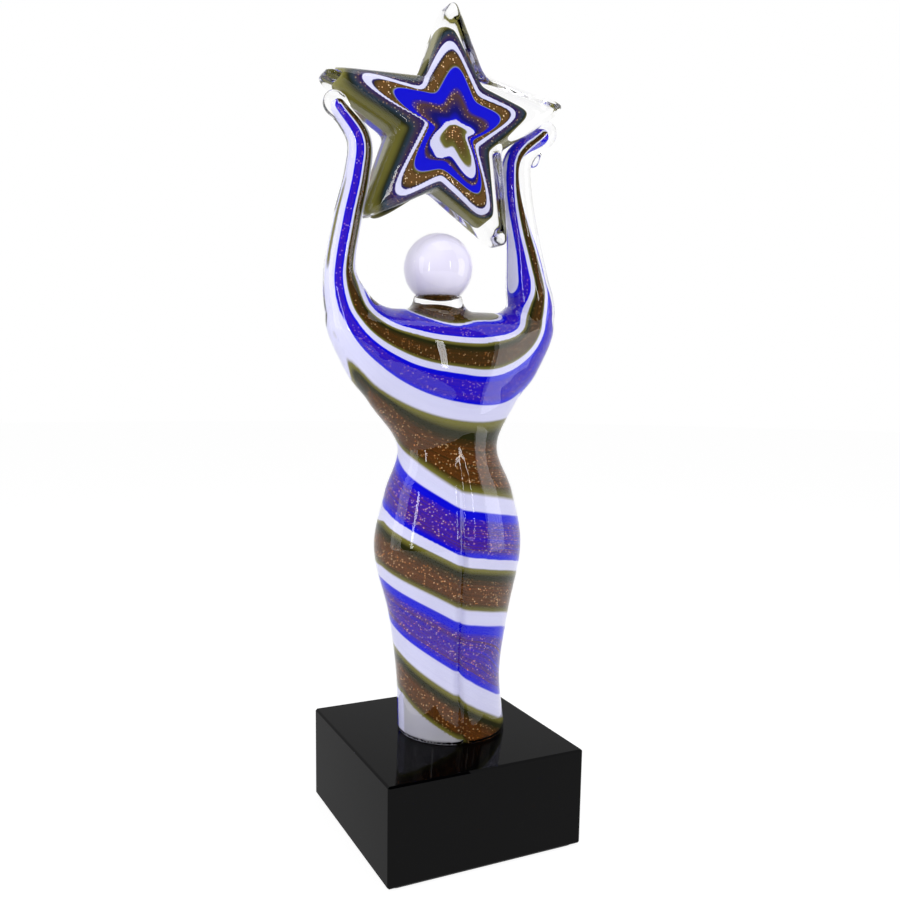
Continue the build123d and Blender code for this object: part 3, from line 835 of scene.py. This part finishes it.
def aventurine_group() -> bpy.types.NodeTree:
    """Copper glass: flakes painted with bright glints, and streaks drawn out along the band.

    Inputs: Across, which changes quickly across a band. Outputs: Streak, 0 to 1, and the glint
    mask, the flakes that are painted pale and bright as glints of light on the copper.
    """
    tree, bench = new_group("aventurine", (("Across", "NodeSocketFloat", 0.0),),
                            (("Streak", "NodeSocketFloat"), ("Fine", "NodeSocketFloat"),
                             ("PaintedGlint", "NodeSocketFloat"), ("Flake", "NodeSocketFloat")))
    across = bench.add("NodeGroupInput").outputs[0]
    place = bench.add("ShaderNodeTexCoord").outputs["Object"]
    wide = bench.add("ShaderNodeTexNoise", noise_dimensions="4D", in_Vector=place,
                     in_W=bench.math("MULTIPLY", across, 70.0), in_Scale=16.0, in_Detail=2.0)
    fine = bench.add("ShaderNodeTexNoise", noise_dimensions="4D", in_Vector=place,
                     in_W=bench.math("MULTIPLY", across, 190.0), in_Scale=26.0, in_Detail=2.0)
    flakes = bench.add("ShaderNodeTexVoronoi", in_Vector=place, in_Scale=1500.0)
    chance = bench.add("ShaderNodeSeparateColor", in_Color=flakes.outputs["Color"])
    # painted glints: small spots, one in five of them picked to be painted bright in the colour
    near = bench.math("LESS_THAN", flakes.outputs["Distance"], 0.40)
    glinting = bench.math("GREATER_THAN", chance.outputs[0], 0.80)
    out = bench.add("NodeGroupOutput")
    tree.links.new(wide.outputs[0], out.inputs[0])
    tree.links.new(fine.outputs[0], out.inputs[1])
    tree.links.new(bench.math("MULTIPLY", near, glinting), out.inputs[2])
    tree.links.new(chance.outputs[1], out.inputs[3])
    return tree


@dataclass(frozen=True)
class Finishes:
    """The trophy's materials."""

    glass_ior: float = 1.40

    def clear_glass(self, name: str, tint: tuple[float, ...] = (1, 1, 1, 1)) -> bpy.types.Material:
        """Clear glass that lets the lamps' light through to what is inside it."""
        material, bench = new_material(name)
        glass = bench.add("ShaderNodeBsdfPrincipled", in_Base_Color=tint, in_Roughness=0.0,
                          in_IOR=self.glass_ior, in_Transmission_Weight=1.0)
        path = bench.add("ShaderNodeLightPath")
        open_way = bench.add("ShaderNodeBsdfTransparent")
        blend = bench.add("ShaderNodeMixShader", in_Fac=path.outputs["Is Shadow Ray"],
                          in_1=glass.outputs[0], in_2=open_way.outputs[0])
        bench.add("ShaderNodeOutputMaterial", in_Surface=blend.outputs[0])
        return material

    def banded_glass(self) -> bpy.types.Material:
        """Coloured core: white, blue, white and olive in each turn of the winding."""
        material, bench = new_material("banded_glass")
        turns = bench.add("ShaderNodeAttribute", attribute_name="turns").outputs["Fac"]
        within = bench.math("FRACT", bench.math("ADD", turns, 10.0))
        copper = bench.add("ShaderNodeGroup", node_tree=bpy.data.node_groups["aventurine"],
                           in_Across=turns).outputs
        wobble = bench.math("MULTIPLY", bench.math("SUBTRACT", copper["Streak"], 0.5), 0.008)
        place = bench.math("ADD", within, wobble)
        base = bench.ramp(
            place, (0.0, Glass.OLIVE_LIGHT.value), (0.02, Glass.WHITE.value),
            (0.172, Glass.WHITE.value), (0.183, Glass.BLUE.value), (0.494, Glass.BLUE.value),
            (0.504, Glass.WHITE.value), (0.59, Glass.WHITE.value),
            (0.61, Glass.OLIVE_LIGHT.value), (0.66, Glass.OLIVE.value),
            (0.94, Glass.OLIVE.value), (0.985, Glass.OLIVE_LIGHT.value),
            (1.0, Glass.OLIVE_LIGHT.value))
        black, white = (0, 0, 0, 1), (1, 1, 1, 1)
        # the copper thins out above the waist
        strong = bench.add("ShaderNodeMapRange", in_0=turns, in_1=1.9, in_2=2.3, in_3=1.0,
                           in_4=0.5).outputs[0]
        in_olive = bench.ramp(place, (0.63, black), (0.68, white), (0.84, white), (0.91, black))
        in_blue = bench.ramp(place, (0.20, black), (0.24, white), (0.42, white), (0.45, black))
        streak = bench.ramp(copper["Streak"], (0.45, black), (0.53, white))
        fine = bench.ramp(copper["Fine"], (0.44, black), (0.60, white))
        copper_colour = bench.mix(fine, Glass.COPPER_DARK.value, Glass.COPPER.value)
        share = bench.math("MULTIPLY", in_olive, bench.math("MULTIPLY", strong, bench.math(
            "ADD", bench.math("MULTIPLY", streak, 0.88), 0.12)))
        colour = bench.mix(share, base, copper_colour)
        share_blue = bench.math("MULTIPLY", in_blue, bench.math("MULTIPLY", streak, strong))
        purple = bench.mix(fine, Glass.PURPLE.value, rgb(132, 70, 34))
        colour = bench.mix(share_blue, colour, purple)
        in_white = bench.ramp(place, (0.0, white), (0.17, white), (0.19, black), (0.49, black),
                              (0.51, white), (0.595, white), (0.61, black))
        threads = bench.ramp(copper["Fine"], (0.46, black), (0.68, white))
        pale = bench.math("MULTIPLY", bench.math("MULTIPLY", in_white, threads), 0.5)
        colour = bench.mix(pale, colour, Glass.WHITE_SHADE.value)
        # painted glints: copper flakes in the olive and blue bands painted pale gold, as bright as
        # light caught on them
        where = bench.math("ADD", share, share_blue)
        painted_glint = bench.math("MULTIPLY", copper["PaintedGlint"], where)
        glint_colour = bench.mix(copper["Flake"], rgb(255, 150, 60), rgb(255, 226, 170))
        colour = bench.mix(painted_glint, colour, glint_colour)
        shader = bench.add("ShaderNodeBsdfPrincipled", in_Base_Color=colour, in_Roughness=0.55,
                           in_Specular_IOR_Level=0.05)
        bench.add("ShaderNodeOutputMaterial", in_Surface=shader.outputs[0])
        return material

    def gathered_glass(self) -> bpy.types.Material:
        """Coloured star: nested gathers read from the attribute "gather"."""
        material, bench = new_material("gathered_glass")
        gather = bench.add("ShaderNodeAttribute", attribute_name="gather").outputs["Fac"]
        copper = bench.add("ShaderNodeGroup", node_tree=bpy.data.node_groups["aventurine"],
                           in_Across=gather).outputs
        place = bench.math("DIVIDE", gather, float(len(GATHERS)))
        unit = 1.0 / len(GATHERS)

        def at(number: float) -> float:
            """Ramp position of a gather."""
            return number * unit
        base = bench.ramp(
            place, (0.0, Glass.OLIVE_LIGHT.value), (at(0.22), Glass.OLIVE.value),
            (at(0.45), Glass.TEAL.value), (at(0.75), Glass.NAVY.value),
            (at(0.97), Glass.DEEP_BLUE.value), (at(1.0), Glass.WHITE.value),
            (at(1.95), Glass.WHITE.value), (at(2.02), Glass.DEEP_BLUE.value),
            (at(2.12), Glass.OLIVE.value), (at(2.85), Glass.OLIVE.value),
            (at(2.97), Glass.OLIVE_LIGHT.value), (at(3.0), Glass.WHITE_SHADE.value),
            (at(3.06), Glass.BLUE.value), (at(3.9), Glass.BLUE.value),
            (at(4.2), Glass.PURPLE.value), (at(4.7), Glass.DEEP_BLUE.value),
            (at(4.96), Glass.BLUE.value), (at(5.0), Glass.WHITE.value),
            (at(5.9), Glass.WHITE.value), (at(6.05), Glass.OLIVE_LIGHT.value),
            (at(6.6), Glass.OLIVE.value))
        black, white = (0, 0, 0, 1), (1, 1, 1, 1)
        metal = bench.ramp(place, (at(0.3), black), (at(0.6), (0.35, 0.35, 0.35, 1)),
                           (at(0.95), (0.1, 0.1, 0.1, 1)), (at(1.0), black), (at(2.05), black),
                           (at(2.3), white), (at(2.75), white), (at(2.95), black),
                           (at(3.95), black), (at(4.2), (0.7, 0.7, 0.7, 1)), (at(4.6), black),
                           (at(6.2), black), (at(6.6), white))
        fine = bench.ramp(copper["Fine"], (0.30, black), (0.70, white))
        copper_colour = bench.mix(fine, Glass.COPPER_DARK.value, rgb(150, 104, 48))
        colour = bench.mix(bench.math("MULTIPLY", metal, 0.75), base, copper_colour)
        # painted glints: flakes in the copper gathers painted pale gold, as bright as light caught
        # on them
        glint_colour = bench.mix(copper["Flake"], rgb(255, 190, 110), rgb(255, 236, 190))
        colour = bench.mix(bench.math("MULTIPLY", copper["PaintedGlint"], metal), colour, glint_colour)
        shader = bench.add("ShaderNodeBsdfPrincipled", in_Base_Color=colour, in_Roughness=0.5,
                           in_Specular_IOR_Level=0.1)
        bench.add("ShaderNodeOutputMaterial", in_Surface=shader.outputs[0])
        return material

    def opal_glass(self) -> bpy.types.Material:
        """White ball of the head, a little cloudy."""
        material, bench = new_material("opal_glass")
        place = bench.add("ShaderNodeTexCoord").outputs["Object"]
        cloud = bench.add("ShaderNodeTexNoise", in_Vector=place, in_Scale=60.0, in_Detail=2.0)
        colour = bench.ramp(cloud.outputs[0], (0.3, rgb(214, 210, 230)), (0.7, rgb(228, 225, 242)))
        shader = bench.add("ShaderNodeBsdfPrincipled", in_Base_Color=colour, in_Roughness=0.5,
                           in_Subsurface_Weight=0.3, in_Subsurface_Radius=(0.006, 0.006, 0.007),
                           in_Subsurface_Scale=1.0)
        bench.add("ShaderNodeOutputMaterial", in_Surface=shader.outputs[0])
        return material

    def black_crystal(self) -> bpy.types.Material:
        """Black glass with a polished face that mirrors faintly."""
        material, bench = new_material("black_crystal")
        place = bench.add("ShaderNodeTexCoord").outputs["Object"]
        haze = bench.add("ShaderNodeTexNoise", in_Vector=place, in_Scale=35.0, in_Detail=3.0)
        rough = bench.add("ShaderNodeMapRange", in_0=haze.outputs[0], in_3=0.0, in_4=0.03)
        shader = bench.add("ShaderNodeBsdfPrincipled", in_Base_Color=rgb(3, 3, 4),
                           in_Roughness=rough.outputs[0], in_Specular_IOR_Level=0.0,
                           in_Coat_Weight=0.2, in_Coat_Roughness=0.0, in_Coat_IOR=1.5)
        bench.add("ShaderNodeOutputMaterial", in_Surface=shader.outputs[0])
        return material

    def rubber(self) -> bpy.types.Material:
        """Soft pad under the base."""
        material, bench = new_material("pad_rubber")
        place = bench.add("ShaderNodeTexCoord").outputs["Object"]
        grain = bench.add("ShaderNodeTexNoise", in_Vector=place, in_Scale=900.0)
        colour = bench.ramp(grain.outputs[0], (0.3, rgb(16, 16, 17)), (0.7, rgb(30, 30, 31)))
        shader = bench.add("ShaderNodeBsdfPrincipled", in_Base_Color=colour, in_Roughness=0.85)
        bench.add("ShaderNodeOutputMaterial", in_Surface=shader.outputs[0])
        return material


# ---- Studio ---------------------------------------------------------------------------
@dataclass(frozen=True)
class Studio:
    """Camera, soft boxes, pale floor and white surroundings."""

    eye: tuple[float, float, float] = (-166.90, -333.07, 195.43)
    azimuth: float = -24.427
    elevation: float = 7.723
    roll: float = 0.499
    lens: float = 34.965
    shift: tuple[float, float] = (0.0425, 0.0562)
    box_glow: float = 2.3
    room_glow: float = 0.30
    flag_radius: float = 0.95
    flag_spread: float = 68.0
    flag_top: float = 1.5

    def set_camera(self) -> None:
        """Camera whose axes come from its azimuth, elevation and roll."""
        a, e, r = (math.radians(v) for v in (self.azimuth, self.elevation, self.roll))
        back = Vector((math.sin(a) * math.cos(e), -math.cos(a) * math.cos(e), math.sin(e)))
        level = Vector((math.cos(a), math.sin(a), 0))
        rise = back.cross(level)
        right = math.cos(r) * level + math.sin(r) * rise
        up = back.cross(right)
        data = bpy.data.cameras.new("camera")
        data.lens, data.sensor_width = self.lens, 36.0
        data.shift_x, data.shift_y = self.shift
        data.clip_start = 0.01
        camera = bpy.data.objects.new("camera", data)
        turn = Matrix((right, up, back)).transposed().to_4x4()
        camera.matrix_world = Matrix.Translation(Vector(self.eye) * MM) @ turn
        bpy.context.scene.collection.objects.link(camera)
        bpy.context.scene.camera = camera

    def soft_box(self, name: str, place: tuple[float, float, float], width: float,
                 height: float, glow: float) -> None:
        """Upright area lamp that faces the middle of the trophy.

        Its power is its brightness times pi times its area.
        """
        data = bpy.data.lights.new(name, "AREA")
        data.shape, data.size, data.size_y = "RECTANGLE", width, height
        data.energy = glow * math.pi * width * height
        lamp = bpy.data.objects.new(name, data)
        aim = Vector((0, 0, 0.19)) - Vector(place)
        lamp.rotation_euler = aim.to_track_quat("-Z", "Y").to_euler()
        lamp.location = place
        bpy.context.scene.collection.objects.link(lamp)

    def light(self) -> None:
        """Two tall soft boxes at the sides, narrow strips in front and one box over the top."""
        self.soft_box("left_soft_box", (-0.80, -0.02, 0.26), 0.36, 0.80, self.box_glow)
        self.soft_box("right_soft_box", (0.66, -0.40, 0.22), 0.34, 0.70, self.box_glow)
        self.soft_box("left_strip", (-0.62, -0.42, 0.24), 0.05, 0.34, self.box_glow * 5)
        self.soft_box("right_strip", (0.20, -0.80, 0.30), 0.06, 0.30, self.box_glow * 5)
        self.soft_box("top_soft_box", (0.05, -0.25, 1.05), 0.6, 0.6, self.box_glow * 0.5)
        world = bpy.data.worlds.new("surroundings")
        bpy.context.scene.world = world
        world.use_nodes = True
        world.node_tree.nodes.clear()
        bench = Bench(world.node_tree)
        path = bench.add("ShaderNodeLightPath").outputs
        seen = bench.math("MAXIMUM", path["Is Camera Ray"], bench.math(
            "MAXIMUM", path["Is Glossy Ray"], path["Is Transmission Ray"]))
        dim = bench.add("ShaderNodeBackground", in_Color=(1, 1, 1, 1), in_Strength=self.room_glow)
        white = bench.add("ShaderNodeBackground", in_Color=(1, 1, 1, 1), in_Strength=1.0)
        blend = bench.add("ShaderNodeMixShader", in_Fac=seen, in_1=dim.outputs[0],
                          in_2=white.outputs[0])
        bench.add("ShaderNodeOutputWorld", in_Surface=blend.outputs[0])

    def lay_floor(self) -> None:
        """Wide round floor that glows white to the eye and keeps the trophy's shadow."""
        rings, columns = np.linspace(0.05, 4.0, 24), 96
        turn = np.arange(columns) * math.tau / columns
        grid = np.stack([rings[:, None] * np.cos(turn), rings[:, None] * np.sin(turn),
                         np.zeros((len(rings), columns))], -1).reshape(-1, 3)
        number = np.arange(len(grid)).reshape(len(rings), columns)
        beside = np.roll(number, -1, axis=1)
        quads = np.stack([number[:-1], number[1:], beside[1:], beside[:-1]], -1).reshape(-1, 4)
        mesh = bpy.data.meshes.new("floor")
        mesh.from_pydata(grid.tolist(), [], quads.tolist() + [number[0].tolist()])
        floor = bpy.data.objects.new("floor", mesh)
        bpy.context.scene.collection.objects.link(floor)
        material, bench = new_material("floor_white")
        path = bench.add("ShaderNodeLightPath").outputs
        seen = bench.math("MAXIMUM", path["Is Camera Ray"], bench.math(
            "MAXIMUM", path["Is Glossy Ray"], path["Is Transmission Ray"]))
        paper = bench.add("ShaderNodeBsdfDiffuse", in_Color=(0.30, 0.30, 0.30, 1))
        glow = bench.add("ShaderNodeEmission", in_Strength=bench.math("MULTIPLY", seen, 0.90))
        both = bench.add("ShaderNodeAddShader", in_0=paper.outputs[0], in_1=glow.outputs[0])
        bench.add("ShaderNodeOutputMaterial", in_Surface=both.outputs[0])
        mesh.materials.append(material)

    def raise_flag(self) -> None:
        """Dark curved card round behind the camera, which only mirror reflections meet."""
        turn = np.radians(self.azimuth - 90 + np.linspace(-1, 1, 49) * self.flag_spread)
        rise = np.linspace(0.01, self.flag_top, 13)
        grid = np.stack([self.flag_radius * np.tile(np.cos(turn), (len(rise), 1)),
                         self.flag_radius * np.tile(np.sin(turn), (len(rise), 1)),
                         np.repeat(rise[:, None], len(turn), axis=1)], -1).reshape(-1, 3)
        number = np.arange(len(grid)).reshape(len(rise), len(turn))
        quads = np.stack([number[:-1, :-1], number[1:, :-1], number[1:, 1:], number[:-1, 1:]],
                         -1).reshape(-1, 4)
        mesh = bpy.data.meshes.new("flag")
        mesh.from_pydata(grid.tolist(), [], quads.tolist())
        flag = bpy.data.objects.new("flag", mesh)
        bpy.context.scene.collection.objects.link(flag)
        material, bench = new_material("flag_black")
        cloth = bench.add("ShaderNodeBsdfDiffuse", in_Color=(0.01, 0.01, 0.01, 1))
        bench.add("ShaderNodeOutputMaterial", in_Surface=cloth.outputs[0])
        mesh.materials.append(material)
        flag.visible_camera = flag.visible_diffuse = flag.visible_shadow = False
        flag.visible_transmission = False


# ---- Assembly -------------------------------------------------------------------------
@dataclass
class Trophy:
    """The whole trophy, built piece by piece."""

    figure: Figure = field(default_factory=Figure)
    star: Star = field(default_factory=Star)
    head: Head = field(default_factory=Head)
    finishes: Finishes = field(default_factory=Finishes)

    def dress_node(self, name: str, material: bpy.types.Material) -> None:
        """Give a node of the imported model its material."""
        node = bpy.data.objects[name]
        for slot in node.material_slots:
            slot.material = material
        if not node.material_slots:
            node.data.materials.append(material)
        log.info("%s: dressed", name)

    def build(self) -> None:
        """Build every piece and dress it."""
        step = 1.0
        aventurine_group()
        clear = self.finishes.clear_glass("clear_glass")
        fasten(self.figure.build_casing(self.star, self.head, step), clear, "clear_glass",
               "body_casing", "neck_collar", "left_arm_casing", "right_arm_casing",
               "left_hand", "right_hand", "right_hand_drip")
        fasten(self.figure.build_core(step), self.finishes.banded_glass(), "blue_glass",
               "body_core_rod", "body_blue_band", "body_narrow_white_band", "body_olive_band",
               "body_wide_white_band", "left_arm_blue_cane", "left_arm_white_cane",
               "left_arm_olive_cane", "right_arm_blue_cane", "right_arm_white_cane",
               "right_arm_olive_cane")
        fasten(self.star.build_casing(step), clear, "clear_glass", "star_casing")
        fasten(self.star.build_core(step * 0.7), self.finishes.gathered_glass(), "blue_glass",
               "star_olive_layer", "star_white_line", "star_gold_layer", "star_blue_layer",
               "star_white_patch", "star_centre")
        fasten(self.head.build("head_skin", 0.0), clear, "clear_glass", "head_casing")
        fasten(self.head.build("head_ball", self.head.skin_wall), self.finishes.opal_glass(),
               "opal_glass", "head_core")
        self.dress_node("base_block", self.finishes.black_crystal())
        self.dress_node("base_pad", self.finishes.rubber())
        self.dress_node("foot_bond", clear)


def main() -> None:
    """Build the studio and the trophy."""
    logging.basicConfig(level=logging.INFO, format="%(name)s %(message)s")
    bpy.context.scene.view_settings.view_transform = "Standard"
    studio = Studio()
    studio.set_camera()
    studio.light()
    studio.lay_floor()
    studio.raise_flag()
    Trophy().build()


if __name__ == "__main__":
    main()
